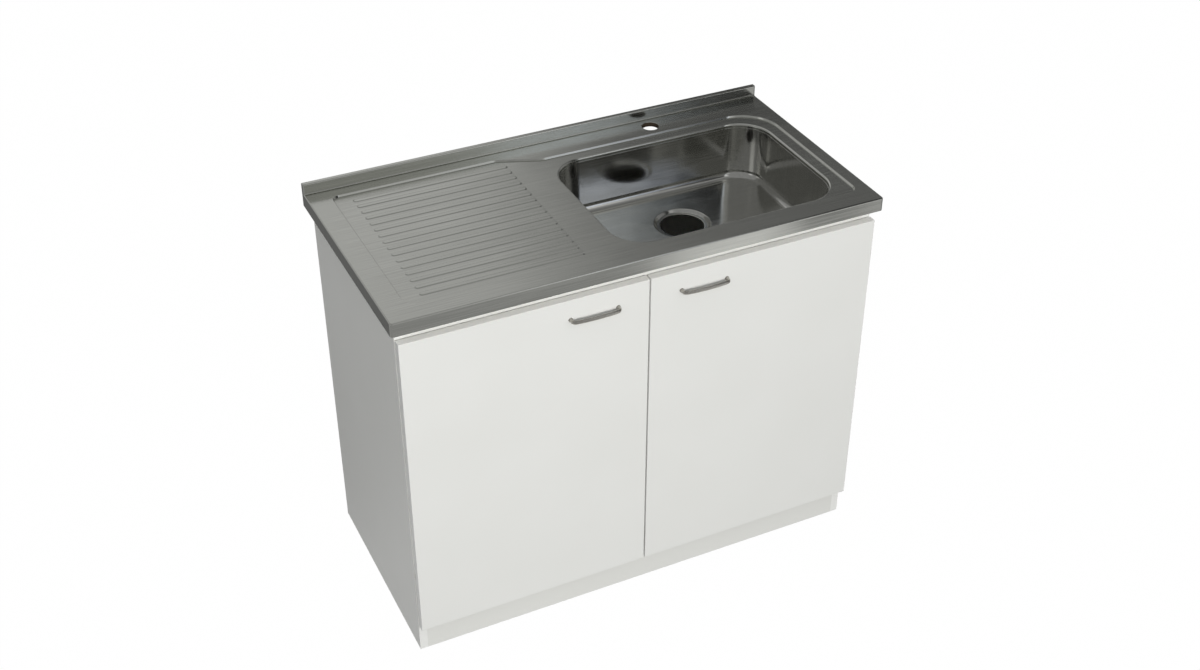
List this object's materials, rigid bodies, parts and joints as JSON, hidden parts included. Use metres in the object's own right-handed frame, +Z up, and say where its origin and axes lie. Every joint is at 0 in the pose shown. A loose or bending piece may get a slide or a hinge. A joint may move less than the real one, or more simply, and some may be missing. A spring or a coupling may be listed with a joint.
{
  "type": "kitchen sink unit",
  "caption": "Freestanding kitchen sink cabinet with a lay-on stainless top, ribbed drainer, deep bowl, rear upstand and hinged doors with bow handles.",
  "frame": {"origin": "on the floor, at the middle of the unit's outline in plan, handles included", "axes": "+X to the right when facing the doors, +Y to the back, +Z up"},
  "size_m": [1, 0.514, 0.8225],
  "materials": {
    "deck_steel": "satin brushed stainless steel",
    "bowl_steel": "polished stainless steel",
    "pad_rubber": "matt sound-deadening sheet",
    "back_board": "hardboard, white inside",
    "backing_board": "raw hardboard",
    "batten_wood": "raw chipboard",
    "white_board": "white melamine-faced chipboard",
    "plinth_board": "white melamine-faced chipboard",
    "door_board": "white melamine-faced chipboard, edged all round",
    "handle_metal": "satin nickel",
    "screw_steel": "zinc-plated steel",
    "buffer_plastic": "soft clear plastic",
    "hinge_steel": "nickel-plated pressed steel",
    "cam_metal": "die-cast zinc",
    "dowel_wood": "beech"
  },
  "bodies": {
    "carcass": {"sink_deck": "deck_steel", "bowl": "bowl_steel", "bowl_pad": "pad_rubber", "tap_backing": "backing_board", "batten_front": "batten_wood", "batten_left": "batten_wood", "batten_right": "batten_wood", "batten_rear_left": "batten_wood", "batten_rear_right": "batten_wood", "side_left": "white_board", "side_right": "white_board", "bottom_panel": "white_board", "plinth": "plinth_board", "front_rail": "white_board", "rear_upper_rail": "white_board", "rear_lower_rail": "white_board", "back_panel": "back_board", "back_nails": "screw_steel", "hinge_arm_left_lower": "hinge_steel", "hinge_arm_left_upper": "hinge_steel", "hinge_arm_right_lower": "hinge_steel", "hinge_arm_right_upper": "hinge_steel", "hinge_plate_left_lower": "hinge_steel", "hinge_plate_left_upper": "hinge_steel", "hinge_plate_right_lower": "hinge_steel", "hinge_plate_right_upper": "hinge_steel", "arm_screws": "screw_steel", "plate_screws": "screw_steel", "cam_bolts": "screw_steel", "cam_locks": "cam_metal", "dowels": "dowel_wood", "fixing_plates": "screw_steel", "fixing_screws": "screw_steel"},
    "left_door": {"door_left": "door_board", "handle_left": "handle_metal", "handle_screws_left": "screw_steel", "cup_screws_left": "screw_steel", "buffers_left": "buffer_plastic", "hinge_cup_left_lower": "hinge_steel", "hinge_cup_left_upper": "hinge_steel", "hinge_pins_left": "screw_steel"},
    "right_door": {"door_right": "door_board", "handle_right": "handle_metal", "handle_screws_right": "screw_steel", "cup_screws_right": "screw_steel", "buffers_right": "buffer_plastic", "hinge_cup_right_lower": "hinge_steel", "hinge_cup_right_upper": "hinge_steel", "hinge_pins_right": "screw_steel"}
  },
  "joints": [
    {"name": "left_door_hinge", "type": "hinge", "parent": "carcass", "child": "left_door", "pos_m": [-0.4794, -0.231, 0.40925], "axis": [0, 0, -1], "range_deg": [0, 95]},
    {"name": "right_door_hinge", "type": "hinge", "parent": "carcass", "child": "right_door", "pos_m": [0.4794, -0.231, 0.40925], "axis": [0, 0, 1], "range_deg": [0, 95]}
  ]
}
